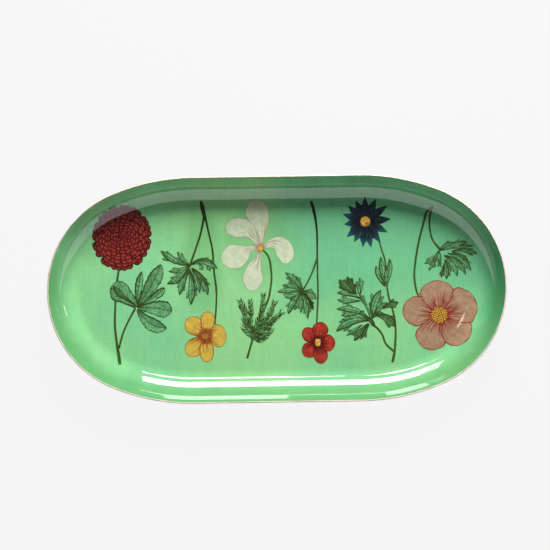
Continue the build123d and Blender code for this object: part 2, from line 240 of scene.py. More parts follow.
class Graph:
    """Writes a node graph as plain steps. Most steps return the wire that holds their result."""

    def __init__(self, owner):
        owner.use_nodes = True
        self.tree = owner.node_tree
        self.tree.nodes.clear()

    def add(self, kind, inputs, **settings):
        node = self.tree.nodes.new("ShaderNode" + kind)
        for key, value in settings.items():
            setattr(node, key, value)
        for key, value in inputs.items():
            if isinstance(value, Wire):
                self.tree.links.new(value.socket, node.inputs[key])
            else:
                node.inputs[key].default_value = value
        return node

    def wire(self, kind, inputs, output=0, **settings):
        return Wire(self, self.add(kind, inputs, **settings).outputs[output])

    def math(self, operation, first, second=0.0, third=0.0, clamp=False):
        inputs = {0: first, 1: second, 2: third}
        return self.wire("Math", inputs, operation=operation, use_clamp=clamp)

    def mix(self, share, first, second, blend="MIX"):
        inputs = {0: share, 6: first, 7: second}
        return self.wire("Mix", inputs, 2, data_type="RGBA", blend_type=blend)

    def rise(self, value, low, high):
        """0 below low, 1 above high and a smooth step between. low above high makes a fall."""
        inputs = {0: value, 1: low, 2: high, 3: 0.0, 4: 1.0}
        return self.wire("MapRange", inputs, interpolation_type="SMOOTHSTEP")

    def noise(self, vector, detail=2.0, roughness=0.5):
        inputs = {"Vector": vector, "Scale": 1.0, "Detail": detail, "Roughness": roughness}
        return self.wire("TexNoise", inputs)

    def cloud(self, *periods, detail=2.0, roughness=0.5):
        """Noise with blots of the given periods in millimetres."""
        return self.noise(self.place(*periods), detail, roughness)

    def place(self, period_x=1.0, period_y=None, period_z=None):
        """The point's place in millimetres, divided by a pattern's periods."""
        periods = (period_x, period_y or period_x, period_z or period_x)
        here = self.wire("TexCoord", {}, "Object")
        inputs = {0: here, 1: [1 / (period * metres) for period in periods]}
        return self.wire("VectorMath", inputs, operation="MULTIPLY")

    def axes(self, vector):
        node = self.add("SeparateXYZ", {0: vector})
        return [Wire(self, output) for output in node.outputs]

    def vector(self, x, y, z):
        return self.wire("CombineXYZ", {0: x, 1: y, 2: z})

    def bump(self, height, strength, depth):
        """A shading normal from a height whose full rise stands for a depth in millimetres."""
        inputs = {"Strength": strength, "Distance": depth * metres, "Height": height}
        return self.wire("Bump", inputs)

    def mark(self, label):
        """A value kept on the mesh's points: a vector's three axes, or a single number."""
        if label in ("stroke", "reach"):
            return self.axes(self.wire("Attribute", {}, "Vector", attribute_name=label))
        return self.wire("Attribute", {}, "Fac", attribute_name=label)


lacquer_ripple = 0.5  # height of the slow swell in the lacquer
fat_edge_width = 3.7  # the lacquer pools along the rim, from this inset outwards
fat_edge_slope = 0.46


def lacquered(name, paint_colour, gloss=1.0):
    """Enamel under clear gloss lacquer. paint_colour(graph) gives its colour wire."""
    material = bpy.data.materials.new(name)
    graph = Graph(material)
    body = paint_colour(graph)
    ripple = graph.cloud(95, 95, 60, detail=1.0)
    peel = graph.cloud(9, detail=1.0)
    fat_edge = graph.math("MINIMUM", graph.mark("inset"), fat_edge_width)
    swell = ripple + peel * 0.012 + fat_edge * (fat_edge_slope / lacquer_ripple)
    brush_marks = graph.cloud(0.5, 4.0, 0.5, detail=3.0)
    scuffs = graph.rise(graph.cloud(14, detail=4.0), 0.45, 0.75)
    shader = graph.wire("BsdfPrincipled", {
        "Base Color": body,
        "Roughness": 0.5,
        "Specular IOR Level": 0.02,
        "Normal": graph.bump(brush_marks, 0.25, 0.03),
        "Coat Weight": gloss,
        "Coat IOR": 1.5,
        "Coat Roughness": scuffs * 0.02 + 0.025,
        "Coat Normal": graph.bump(swell, 1.0, lacquer_ripple),
    })
    graph.add("OutputMaterial", {0: shader})
    return material


def painted_wash(graph, x, y):
    """A darker wash behind two flowers: a share that is full at a flower's middle and fades outwards."""
    share = 0.0
    for node, across, along in (("white_flower_petals", 42.0, 46.0), ("buttercup_stems", 26.0, 62.0)):
        low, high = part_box(node)
        gap_x = (x - (low.x + high.x) / 2 / metres) / across
        gap_y = (y - (low.y + high.y) / 2 / metres) / along
        reach = graph.math("SQRT", gap_x * gap_x + gap_y * gap_y)
        share = graph.math("MAXIMUM", share, graph.rise(reach, 1.15, 0.5))
    return share


def ground_colour(graph):
    """Hand-mottled green with a fine linen weave. It is darker up the walls, partly the ground's own
    darker edge and partly painted shade, and painted shade also darkens it towards the right and the upper
    right.
    """
    x, y, _ = graph.axes(graph.place())
    clouds = graph.cloud(85, 85, 200, detail=3.0, roughness=0.55)
    patches = graph.cloud(26, 34, 200, detail=4.0, roughness=0.6)
    body = graph.mix(graph.rise(clouds, 0.36, 0.64), colour(132, 209, 151), colour(142, 212, 147))
    body = graph.mix(graph.rise(patches, 0.5, 0.72) * 0.5, body, colour(120, 202, 148))
    drift = x + clouds * 90.0
    warm = graph.rise(graph.cloud(38, 60, 90, detail=3.0), 0.45, 0.7) * 0.4
    warm = graph.math("MAXIMUM", warm, graph.rise(abs(drift - 10.0), 95.0, 20.0))
    body = graph.mix(warm * 0.75, body, colour(150, 212, 142))
    # A darker, bluer cloud towards the upper right: partly the ground's mottling, partly painted shade
    cool_and_painted_shade = graph.rise(drift, 22.0, 72.0) * graph.rise(y, -45.0, 20.0)
    body = graph.mix(cool_and_painted_shade * 0.75, body, colour(106, 186, 138))
    body = graph.mix(painted_wash(graph, x, y) * (patches * 0.5 + 0.2), body, colour(96, 168, 104))
    daubs = graph.cloud(9, 15, 200, detail=4.0, roughness=0.6)
    threads = graph.cloud(1.3, 42, 300)
    weft = graph.cloud(30, 1.7, 300)
    grain = graph.cloud(1.1, 1.6, 9)
    light = daubs * 0.2 + threads * 0.16 + weft * 0.1 + grain * 0.22 + 0.66
    # Painted shade: darker towards the right
    light = light - graph.rise(x, 5.0, 55.0) * 0.06
    body = graph.mix(1.0, body, graph.vector(light, light, light), "MULTIPLY")
    # Darker up the walls: partly the ground's own darker edge, partly painted shade, which is heaviest up
    # the near wall where the light falls strongest
    ragged = graph.cloud(22, detail=3.0) * 9.0
    rim = graph.rise(graph.mark("inset") + ragged, 33.0, 9.0)
    near_wall_painted_shade = graph.rise(y, 72.0, 0.0) * 0.8 + 0.2
    right_end = graph.rise(x, 150.0, 215.0) * graph.rise(y, -75.0, -15.0)
    wall_tone_and_painted_shade = graph.mix(right_end, colour(91, 152, 97), colour(60, 142, 90))
    return graph.mix(rim * near_wall_painted_shade, body, wall_tone_and_painted_shade)


def line_colour(graph):
    """Pale pink edging, rubbed thin in places so that cream shows."""
    rub = graph.rise(graph.cloud(7, detail=4.0), 0.42, 0.62)
    body = graph.mix(rub, colour(224, 196, 186), colour(228, 212, 200))
    specks = graph.rise(graph.cloud(1.6, detail=3.0), 0.62, 0.72)
    return graph.mix(specks * 0.5, body, colour(214, 160, 150))


def back_colour(graph):
    """Plain pale enamel for the underside, with faint clouding and rubbed spots."""
    clouds = graph.cloud(60, detail=4.0, roughness=0.6)
    body = graph.mix(graph.rise(clouds, 0.35, 0.65), colour(208, 180, 168), colour(220, 198, 184))
    dust = graph.rise(graph.cloud(2.2, detail=3.0), 0.6, 0.75)
    return graph.mix(dust * 0.35, body, colour(184, 152, 138))


def brushed_steel():
    """Rolled steel sheet with fine lengthwise grain."""
    material = bpy.data.materials.new("rolled_steel")
    graph = Graph(material)
    grain = graph.cloud(40, 0.35, 0.35, detail=3.0)
    shader = graph.wire("BsdfPrincipled", {
        "Base Color": graph.mix(grain, colour(120, 122, 124), colour(168, 170, 172)),
        "Metallic": 1.0,
        "Roughness": grain * 0.25 + 0.25,
        "Normal": graph.bump(grain, 0.4, 0.02),
    })
    graph.add("OutputMaterial", {0: shader})
    return material


def streaks(graph, count, low, high):
    """Fine lines that run along a brush stroke, as a share from 0 to 1."""
    along, across, seed = graph.mark("stroke")
    where = graph.vector(across * count, along * 1.4, seed * 57.0)
    return graph.rise(graph.noise(where), low, high)


def outlined(graph, tint, ink, width, full_width, share):
    """Outline each brush stroke in ink: solid as far in from the edge as full_width, gone by width."""
    _, _, edge_gap = graph.mark("reach")
    return graph.mix(graph.rise(edge_gap, width, full_width) * share, tint, ink)


def shaded(graph, tint, dark):
    """Darken each brush stroke as far as its own shade says."""
    return graph.mix(graph.mark("shade"), tint, dark)


def petal_colour(body, pale, edge, throat, throat_end, streak_end, edge_width, count=11.0):
    """A petal: mottled body, radial streaks out of a dark throat and a drawn outline."""

    def paint_colour(graph):
        along, _, _ = graph.mark("stroke")
        cloud = graph.cloud(5.5, detail=3.0)
        tint = graph.mix(graph.rise(cloud, 0.35, 0.65), body, pale)
        fine = streaks(graph, 13.0, 0.42, 0.62)
        tint = graph.mix(fine * 0.13, tint, edge)
        bold = streaks(graph, count, 0.5, 0.58)
        tint = graph.mix(bold * graph.rise(along, streak_end, throat_end), tint, throat)
        ragged = along + fine * 0.08
        tint = graph.mix(graph.rise(ragged, throat_end + 0.08, throat_end - 0.08), tint, throat)
        tint = outlined(graph, tint, edge, edge_width, edge_width * 0.5, 0.92)
        return shaded(graph, tint, edge)

    return paint_colour


def leaf_colour(graph):
    """A leaf: blue-green fill with drawn ribs and veins, and an outline that's heavier on one side."""
    line = colour(46, 58, 4)
    spacing = 4.2  # between side veins
    along, _, _ = graph.mark("stroke")
    far, side, edge_gap = graph.mark("reach")
    off = abs(side)
    cloud = graph.cloud(4.0, detail=3.0)
    tint = graph.mix(graph.rise(cloud, 0.35, 0.65), colour(94, 162, 112), colour(122, 190, 130))
    climb = far - off * 1.35 + graph.cloud(3.5) * 2.4
    comb = graph.math("PINGPONG", climb / spacing, 0.5)
    fade = graph.rise(graph.cloud(3.1), 0.36, 0.6)
    veins = graph.rise(comb, 0.16, 0.06) * (fade * 0.7 + 0.2)
    hatch_comb = graph.math("PINGPONG", climb / (spacing / 3.1), 0.5)
    heavy_side = graph.rise(side, -0.4, 0.8)
    hatch = graph.rise(hatch_comb, 0.34, 0.12) * heavy_side * 0.55
    rib = graph.rise(off, 0.5, 0.25)
    wobble = (cloud - 0.5) * 0.9
    lines = graph.rise(edge_gap + wobble - (heavy_side * 0.8 + 0.95), 0.3, -0.3)
    for drawn in (veins, rib, hatch):
        lines = graph.math("MAXIMUM", lines, drawn)
    tint = graph.mix(lines * 0.92, tint, line)
    heel = graph.rise(along, 0.3, 0.03) * 0.6
    tint = graph.mix(heel, tint, line)
    return shaded(graph, tint, line)


def fern_colour(graph):
    """A fern: soft green blades that darken to olive as far as each stroke's shade says."""
    cloud = graph.cloud(3.0, detail=3.0)
    body = graph.mix(graph.rise(cloud, 0.35, 0.65), colour(86, 146, 84), colour(112, 172, 104))
    return shaded(graph, body, colour(44, 58, 10))


def stem_colour(graph):
    """A stem: olive, with darker edges and joints."""
    _, across, _ = graph.mark("stroke")
    body = graph.mix(graph.cloud(6), colour(52, 74, 18), colour(80, 102, 28))
    edge = graph.rise(abs(across), 0.35, 0.85)
    tint = graph.mix(edge * 0.75, body, colour(26, 32, 8))
    return shaded(graph, tint, colour(16, 20, 8))


def dahlia_colour(graph):
    """A dahlia petal: dark hollow, red body and a bright lip inside a dark outline."""
    along, _, _ = graph.mark("stroke")
    _, _, edge_gap = graph.mark("reach")
    tint = graph.mix(graph.rise(along, 0.25, 0.62), colour(66, 14, 18), colour(152, 46, 38))
    lip = graph.rise(edge_gap, 3.4, 1.9) * graph.rise(along, 0.55, 0.8)
    tint = graph.mix(lip * 0.8, tint, colour(200, 82, 60))
    tint = graph.mix(streaks(graph, 8.0, 0.4, 0.62) * 0.4, tint, colour(110, 26, 28))
    tint = outlined(graph, tint, colour(56, 10, 16), 1.7, 1.0, 0.92)
    return shaded(graph, tint, colour(58, 12, 22))


def cornflower_colour(graph):
    """A cornflower ray: near-black blue that turns teal towards the tip, with pale ribs."""
    along, _, _ = graph.mark("stroke")
    tint = graph.mix(graph.rise(along, 0.5, 0.95), colour(16, 25, 30), colour(34, 92, 108))
    tint = graph.mix(streaks(graph, 5.0, 0.45, 0.6) * 0.5, tint, colour(60, 96, 106))
    tint = outlined(graph, tint, colour(14, 18, 26), 0.6, 0.3, 0.8)
    return shaded(graph, tint, colour(18, 24, 30))


def heart_colour(body, pale, dark):
    """A flower's heart: stippled dots on a body that darkens towards its edge."""

    def paint_colour(graph):
        cells = graph.wire("TexVoronoi", {"Vector": graph.place(1.5), "Scale": 1.0})
        tint = graph.mix(graph.rise(cells, 0.2, 0.5), pale, body)
        grain = graph.rise(graph.cloud(0.9), 0.45, 0.65)
        tint = graph.mix(grain * 0.45, tint, dark)
        tint = outlined(graph, tint, dark, 1.1, 0.2, 0.7)
        return shaded(graph, tint, dark)

    return paint_colour


# -------------------- brushwork


def smooth_line(points, shares):
    """Points at shares of the way along a smooth line through the given points."""
    points = np.asarray(points, float)
    steps = np.hypot(*np.diff(points[:, :2], axis=0).T)
    knots = np.concatenate([[0], np.cumsum(steps)])
    slopes = np.gradient(points, knots, axis=0)
    at = np.asarray(shares) * knots[-1]
    piece = np.clip(np.searchsorted(knots, at, side="right") - 1, 0, len(knots) - 2)
    span = (knots[piece + 1] - knots[piece])[:, None]
    t = ((at - knots[piece])[:, None]) / span
    start = points[piece] * (2 * t**3 - 3 * t**2 + 1) + slopes[piece] * span * (t**3 - 2 * t**2 + t)
    end = points[piece + 1] * (3 * t**2 - 2 * t**3) + slopes[piece + 1] * span * (t**3 - t**2)
    return start + end


def towards(turn):
    """The direction of an angle, in radians, on the plan."""
    return np.array([cos(turn), sin(turn)])


class Plant:
    """One plant of the painting, placed by its flower's CAD node."""

    picture_turn = radians(-0.86)  # the picture sits this much askew in the tray

    def __init__(self, flower_node, heart):
        low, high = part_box(flower_node)
        self.centre = np.array([(low.x + high.x) / 2, (low.y + high.y) / 2]) / metres
        self.heart = np.array(heart)

    def on_tray(self, plan):
        """Turn points of the picture's plan into points on the tray."""
        x, y = np.moveaxis(plan - self.heart, -1, 0)
        turned_x = x * cos(self.picture_turn) - y * sin(self.picture_turn)
        turned_y = x * sin(self.picture_turn) + y * cos(self.picture_turn)
        return self.centre + np.stack([turned_x, turned_y], -1)


class Film:
    """Gathers brush strokes of one paint and makes them one piece. Each stroke is a closed flake."""

    sink = 0.04  # how far a flake reaches down into the ground coat
    full_line = 3.6  # strokes with a smaller half-width get a thinner outline
    wobble_length = 2.5  # spacing of the unevenness along a stroke
    unevenness = 0.06  # as a share of the half-width

    def __init__(self, plant):
        self.plant = plant
        self.points = []
        self.faces = []
        self.strokes = []
        self.reaches = []
        self.shades = []
        self.size = 0

    def flake(self, plan, stroke, reach, lift, shade):
        """Lay a grid of plan points on the tray as a flake with a top, an underside and edges."""
        rows, columns = plan.shape[:2]
        on_tray = self.plant.on_tray(plan).reshape(-1, 2)
        for offset in (coat + lift, coat - self.sink):
            height = surface_height(on_tray[:, 0], on_tray[:, 1], offset)
            self.points.append(np.column_stack([on_tray, height]))
            self.strokes.append(stroke.reshape(-1, 3))
            self.reaches.append(reach.reshape(-1, 3))
            self.shades.append(np.broadcast_to(shade, plan.shape[:2]).ravel())
        grid = np.arange(rows * columns).reshape(rows, columns) + self.size
        below = rows * columns
        top = np.stack([grid[:-1, :-1], grid[1:, :-1], grid[1:, 1:], grid[:-1, 1:]], -1).reshape(-1, 4)
        rim = np.concatenate([grid[:-1, 0], grid[-1, :-1], grid[:0:-1, -1], grid[0, :0:-1]])
        after = np.roll(rim, -1)
        edges = np.stack([rim + below, after + below, after, rim], -1)
        self.faces += [top, top[:, [0, 3, 2, 1]] + below, edges]
        self.size += 2 * below

    def brush(self, points, widths, tip="round", lift=0.6, rows=18, columns=9, teeth=0, tooth=0.0,
              shade=0.0, bluntness=0.25):
        """Paint along a smooth line. widths are the widths at its points; lift is a share of the paint."""
        turn = np.linspace(0, pi / 2, rows)
        shares = np.sin(turn) if tip == "round" else np.linspace(0, 1, rows) ** 0.9
        line = smooth_line([(*point, width) for point, width in zip(points, widths)], shares)
        spine, half = line[:, :2], np.maximum(line[:, 2] / 2, 0.05)
        # A tip's start along the stroke, and how it closes
        tips = {"round": (1 - bluntness, 2, 0.5), "point": (0.35, 1.8, 1), "leaf": (0.45, 2.6, 0.65)}
        begin, curve, close = tips[tip]
        cap = np.clip((shares - begin) / (1 - begin), 0, 1)
        half = half * np.maximum(1 - cap**curve, 0) ** close
        span = np.hypot(*np.diff(spine, axis=0).T).sum()
        wobbles = max(int(span / self.wobble_length), 2)
        uneven = np.interp(shares, np.linspace(0, 1, wobbles), draw.uniform(-1, 1, wobbles))
        half = np.maximum(half * (1 + self.unevenness * uneven), 0.06)
        way = np.gradient(spine, axis=0)
        way /= np.maximum(np.hypot(way[:, 0], way[:, 1]), 1e-6)[:, None]
        left = np.stack([-way[:, 1], way[:, 0]], 1)
        across = np.sin(np.linspace(-pi / 2, pi / 2, columns))
        wave = ((shares * teeth) % 1.0 - 0.5) * tooth * np.minimum(half / half.max() * 1.5, 1)
        spread = half[:, None] + wave[:, None] * np.abs(across) ** 3
        side = across * spread
        plan = spine[:, None] + left[:, None] * side[..., None]
        along = np.broadcast_to(shares[:, None], side.shape)
        gap = np.minimum(spread - np.abs(side), (1 - along) * span)
        finer = max(1.0, self.full_line / half.max())
        seed = np.full(side.shape, draw.random())
        stroke = np.stack([along, np.broadcast_to(across, side.shape), seed], -1)
        reach = np.stack([along * span, side * finer, gap * finer], -1)
        self.flake(plan, stroke, reach, lift * paint, shade)

    def disc(self, centre, radius, lift=0.9, rows=17, shade=0.0):
        """Paint a round dot."""
        turn = np.linspace(-pi / 2, pi / 2, rows)
        across = np.broadcast_to(np.sin(turn), (rows, rows))
        x = across.T * radius
        y = across * np.maximum(np.cos(turn), 0.02)[:, None] * radius
        gap = (radius - np.hypot(x, y)) * max(1.0, self.full_line / radius)
        stroke = np.stack([(across.T + 1) / 2, across, np.full(x.shape, draw.random())], -1)
        plan = np.stack([x, y], -1) + centre
        self.flake(plan, stroke, np.stack([x, y, gap], -1), lift * paint, shade)

    def finish(self, node, slot, material=None):
        """Make the piece and let it stand for its CAD node."""
        marks = {
            "stroke": np.concatenate(self.strokes),
            "reach": np.concatenate(self.reaches),
            "shade": np.concatenate(self.shades),
        }
        faces = np.concatenate(self.faces).tolist()
        points = np.concatenate(self.points)
        new_piece("painted_" + node, points, faces, marks, material or paints[slot], slot, node)


def lobe(film, base, tip, wide, bow=0.0, shade=0.0, lift=0.6, end="leaf", teeth=0, tooth=0.0,
         belly=0.55):
    """Paint one lobe of a leaf. bow bends it to its left; belly is where it's widest."""
    base, tip = np.array(base), np.array(tip)
    run = tip - base
    left = np.array([-run[1], run[0]])
    along = np.array([0, 0.5 * belly, belly, (1 + belly) / 2, 1])[:, None]
    bend = np.array([0, 0.8, 1, 0.7, 0])[:, None] * bow
    widths = np.array([0.22, 0.62, 0.94, 1.0, 0.8]) * wide
    rows = max(18, 4 * teeth)
    film.brush(base + along * run + bend * left, widths, end, lift, rows, teeth=teeth, tooth=tooth,
               shade=shade)


def leaf(film, hub, lobes):
    """Paint a leaf from its lobes: tip, width, bow, shade and, away from the hub, the lobe's own base."""
    for order, (tip, wide, bow, shade, *base) in enumerate(lobes):
        base = np.array(base[0] if base else hub)
        lift = 0.4 + 0.035 * order
        run = np.array(tip) - base
        left = np.array([-run[1], run[0]])
        spine = base + 0.6 * run + 0.8 * bow * left
        for side in (-1, 1):
            reach = draw.uniform(0.14, 0.26) * run
            end = spine + reach + side * draw.uniform(0.5, 0.62) * wide * left / np.hypot(*run)
            lobe(film, spine - 0.16 * run, end, 0.4 * wide, 0.0, shade, lift - 0.012 - 0.006 * side)
        lobe(film, base, tip, 0.8 * wide, bow, shade, lift)


def stem(film, line, widths, rows, lift=0.3, bluntness=0.01, shade=(0.0, 0.0)):
    """Paint a stem. shade goes evenly from its start to its end and is then held between 0 and 0.9."""
    dark = np.clip(np.linspace(*shade, rows), 0, 0.9)
    film.brush(line, widths, lift=lift, rows=rows, columns=5, bluntness=bluntness, shade=dark[:, None])


def paint_petals(film, strokes):
    """Paint petals, each a little above the one before, from their lines, widths and bluntness."""
    for order, (line, widths, bluntness) in enumerate(strokes):
        film.brush(line, widths, lift=0.5 + 0.06 * order, bluntness=bluntness)


def throat_lines(film, heart, turns, start, longest):
    """Draw fine dark lines that fan out of a flower's heart on to each petal."""
    for turn in turns:
        for lean in np.linspace(-31, 31, 7 if longest > 15 else 5):
            way = towards(radians(turn + lean + draw.uniform(-3, 3)))
            end = start + (longest - start) * draw.uniform(0.4, 1.0)
            line = [heart + reach * way for reach in (start, 0.5 * (start + end), end)]
            film.brush(line, [0.8, 0.8, 0.45], "point", 0.85, rows=9, columns=3, shade=0.8)


# -------------------- the tray itself

enamel = lacquered("mottled_green_enamel", ground_colour)
edging = lacquered("pale_edging", line_colour, gloss=0.2)
back = lacquered("pale_back_enamel", back_colour)

ground_rows = layer_rows(0, coat_end) + layer_rows(coat, coat_end)[::-1]
swept_piece("ground_enamel", ground_rows[::-1], False, enamel, "green_ground", "ground_coat")
back_rows = layer_rows(-sheet - coat, wall_straight) + layer_rows(-sheet, wall_straight)[::-1]
swept_piece("back_enamel", back_rows[::-1], False, back, "back_enamel", "back_coat")


def edge_rows():
    """Section of the edge line: a lap on the inside and a rounded bead over the cut edge."""
    bead_end = wall_straight + line_bead
    round_off = 0.14
    corners = [
        (0, wall_straight), (0, coat_end), (coat * 0.6, coat_end - 0.06), (coat, coat_end + 0.1),
        (coat, bead_end - round_off), (coat - round_off * 0.3, bead_end - round_off * 0.3),
        (coat - round_off, bead_end), (-sheet, bead_end),
        (-sheet - coat * 0.7, bead_end - round_off * 0.3), (-sheet - coat, bead_end - round_off),
        (-sheet - coat, wall_straight),
    ]
    return [section_row(*wall_point(offset, reach)) for offset, reach in corners]


swept_piece("edge_line", edge_rows()[::-1], True, edging, "edge_pink", "rim_line")

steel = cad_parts["steel_pan"]
steel.data.materials.clear()
steel.data.materials.append(brushed_steel())

# -------------------- paints

fern_paint = lacquered("fern_paint", fern_colour)
tan_paint = lacquered("heart_tan_paint", heart_colour(
    colour(160, 112, 52), colour(190, 146, 80), colour(104, 40, 24)))

# The usual paint of each colour slot
paints = {
    "leaf_green": lacquered("leaf_paint", leaf_colour),
    "stem_green": lacquered("stem_paint", stem_colour),
    "dahlia_red": lacquered("dahlia_red_paint", dahlia_colour),
    "buttercup_yellow": lacquered("buttercup_yellow_paint", petal_colour(
        colour(206, 172, 68), colour(216, 188, 82), colour(152, 80, 32), colour(146, 42, 22),
        throat_end=0.25, streak_end=0.72, edge_width=1.2)),
    "petal_white": lacquered("petal_white_paint", petal_colour(
        colour(192, 206, 170), colour(207, 217, 189), colour(150, 142, 114), colour(150, 108, 88),
        throat_end=0.08, streak_end=0.62, edge_width=0.7, count=7.0)),
    "petal_scarlet": lacquered("petal_scarlet_paint", petal_colour(
        colour(158, 46, 34), colour(176, 62, 44), colour(92, 20, 16), colour(74, 14, 14),
        throat_end=0.28, streak_end=0.7, edge_width=1.2)),
    "cornflower_blue": lacquered("cornflower_blue_paint", cornflower_colour),
    "anemone_pink": lacquered("anemone_pink_paint", petal_colour(
        colour(160, 126, 98), colour(174, 142, 114), colour(138, 36, 30), colour(132, 30, 24),
        throat_end=0.17, streak_end=0.75, edge_width=1.5, count=17.0)),
    "heart_gold": lacquered("heart_gold_paint", heart_colour(
        colour(210, 162, 62), colour(240, 216, 112), colour(122, 64, 26))),
}

# -------------------- dahlia

dahlia = Plant("dahlia_petals", (-156.8, 51.5))
bloom_across = 30.2
bloom_along = 33.4
bloom_tilt = radians(-8.5)
bloom_rings = 10


def bloom_point(share, turn):
    """A point of the dahlia at a share of its size and an angle."""
    x = bloom_across * share * cos(turn)
    y = bloom_along * share * sin(turn)
    return np.array([
        dahlia.heart[0] + x * cos(bloom_tilt) - y * sin(bloom_tilt),
        dahlia.heart[1] + x * sin(bloom_tilt) + y * cos(bloom_tilt),
    ])


film = Film(dahlia)
film.disc(dahlia.heart, 24, lift=0.2, rows=31, shade=0.8)
for ring in range(bloom_rings):
    share = (1 - ring / 10.4) ** 1.06  # the ring's size, as a share of the bloom's
    petals = round(4 + 25 * share)
    depth = (3.6 + 6.0 * share) / bloom_along  # a petal's length
    for petal in range(petals):
        turn = 2 * pi * (petal + 0.5 * (ring % 2)) / petals + 0.075 * draw.uniform(-1, 1)
        outer = share + (0.008 if ring < 2 else 0.026) * draw.uniform(-1, 1)
        root = bloom_point(max(outer - depth, 0), turn)
        middle = bloom_point(max(outer - depth * 0.5, 0.02), turn)
        crown = bloom_point(outer, turn)
        wide = draw.uniform(1.12, 1.42) * 2 * pi * share * bloom_along * 0.93 / petals
        overlap = 0.1 * (0.382 * petal % 1)
        shade = (0.55, 0.3, 0.1)[ring] if ring < 3 else 0.0
        film.brush([root, middle, crown], [wide * 0.6, wide * 0.98, wide], rows=11,
                   lift=0.25 + 0.1 * ring + overlap, bluntness=0.52, shade=shade)
film.disc(dahlia.heart, 1.6, lift=1.4, rows=9, shade=0.3)
film.finish("dahlia_petals", "dahlia_red")

film = Film(dahlia)
main_line = [(-158.8, 24), (-161, 12), (-162.6, -4), (-163.5, -20), (-163.8, -35), (-162.5, -50),
             (-161, -60), (-158.5, -76)]
stem(film, main_line, [2.0, 2.0, 2.0, 2.1, 2.2, 2.4, 2.9, 3.4], rows=60)
side_line = [(-143, -19), (-150, -32), (-155, -43), (-159.8, -60)]
stem(film, side_line, [2.2, 1.9, 1.9, 2.0], rows=24, lift=0.28, bluntness=0.02)
film.finish("dahlia_stem", "stem_green")

film = Film(dahlia)
hub = (-141.3, -18.5)
lobe(film, hub, (-136.8, 18), 8.5, bow=0.03, teeth=6, tooth=0.7, lift=0.42)
lobe(film, hub, (-117.3, 25), 16, bow=-0.03, teeth=9, tooth=0.9, lift=0.48, belly=0.68, shade=0.22)
lobe(film, hub, (-113.8, 1.5), 8.5, bow=-0.05, teeth=5, tooth=0.8, lift=0.54, end="round", belly=0.7)
lobe(film, (-142, -17.5), (-168.2, 1.5), 22, bow=-0.06, teeth=9, tooth=0.7, lift=0.60, end="round",
     belly=0.66, shade=0.18)
lobe(film, (-140, -19), (-106.5, -22.5), 17, bow=0.05, teeth=11, tooth=1.1, lift=0.66, end="round",
     belly=0.6)
lobe(film, (-141, -20), (-111.5, -39.3), 15, bow=-0.14, teeth=10, tooth=1.1, lift=0.58, belly=0.6)
film.brush([(-143.5, -16), (-152, -10), (-161, -2.5), (-166, 4)], [1, 3, 7, 5], "leaf", 0.72, shade=0.55)
film.finish("dahlia_leaf", "leaf_green")

# -------------------- buttercup

buttercup = Plant("buttercup_heart", (-72, -47.5))

film = Film(buttercup)
cut_end = [(-72.2, 70), (-74.5, 80), (-76.6, 89)]
stem(film, cut_end, [2.6, 4.2, 3.4], rows=20, lift=0.4, bluntness=0.2, shade=(0.7, 0.7))
main_line = [(-72.6, 74), (-69, 58), (-65, 40), (-63, 15), (-61, 0), (-61, -15), (-62.5, -36)]
stem(film, main_line, [2.6, 2.0, 1.9, 1.9, 1.9, 1.8, 1.6], rows=56, lift=0.36, shade=(0.6, 0.0))
side_line = [(-73, 74), (-77.5, 53), (-81.5, 41), (-88, 22.5)]
stem(film, side_line, [2.6, 2.0, 1.9, 2.4], rows=34, lift=0.34, shade=(0.6, 0.0))
film.finish("buttercup_stems", "stem_green")

film = Film(buttercup)
hub = (-87.5, 23.5)
leaf(film, hub, [
    ((-108.8, 28), 6.5, -0.12, 0.0),
    ((-100.4, 37.5), 6.5, 0.05, 0.1),
    ((-117, 38.8), 8.5, 0.08, 0.0),
    ((-109.2, 17.5), 6, 0.06, 0.15),
    ((-102.2, 11), 5.5, -0.05, 0.1),
    ((-110.8, 5), 8.5, 0.10, 0.0),
    ((-101.3, 5.5), 6.5, -0.10, 0.1, (-88, 20)),
    ((-98, -6.5), 7.5, -0.06, 0.0, (-88, 18)),
    ((-82.5, -8), 7, 0.04, 0.0, (-87, 18)),
    ((-86.8, -16.5), 9.5, 0.05, 0.0, (-88, 20)),
    ((-77.5, -4.5), 6.5, 0.05, 0.1, (-86, 21)),
    ((-69.3, -6.5), 8, 0.10, 0.35, (-86, 21)),
    ((-71, 3), 5, 0.10, 0.75, (-85, 21)),
    ((-75, 18.5), 4.5, 0.10, 0.1, (-80, 27)),
    ((-67, 17.5), 5, 0.12, 0.1, (-76, 29)),
    ((-59.8, 20.5), 8, 0.17, 0.1, (-86.5, 24.5)),
    ((-64, 27), 3.5, 0.16, 0.7, (-86, 26)),
])
film.finish("buttercup_leaf", "leaf_green")

film = Film(buttercup)
paint_petals(film, [
    ([(-73, -46.5), (-80.5, -39.5), (-91, -30.5)], [7, 17, 19.5], 0.5),
    ([(-73, -49), (-80, -56), (-90.5, -66)], [7, 17, 19], 0.5),
    ([(-71.5, -50), (-70.8, -60), (-70, -73.8)], [7, 14, 15.5], 0.45),
    ([(-69.5, -47.5), (-62, -47.3), (-50.8, -46.5)], [7, 21, 23.5], 0.45),
    ([(-71.5, -45), (-70, -35), (-69, -22.8)], [7, 14, 16], 0.45),
])
throat_lines(film, buttercup.heart, (138, 225, 274, 3, 83), start=3.5, longest=12)
film.finish("buttercup_petals", "buttercup_yellow")

film = Film(buttercup)
film.disc(buttercup.heart, 3.9, lift=0.95)
film.finish("buttercup_heart", "heart_gold", tan_paint)

# -------------------- white flower

white_flower = Plant("white_flower_heart", (-16.5, 41))

film = Film(white_flower)
main_line = [(-14, 39), (-10, 35), (-7.5, 30), (-6, 20), (-5.3, 12), (-6.5, 0), (-9.5, -13), (-16.5, -27),
             (-22.5, -43), (-26, -56), (-30, -70)]
stem(film, main_line, [1.8, 2.0, 2.0, 2.0, 1.9, 1.9, 1.9, 1.9, 2.0, 2.0, 2.2], rows=72)
film.finish("white_flower_stem", "stem_green")


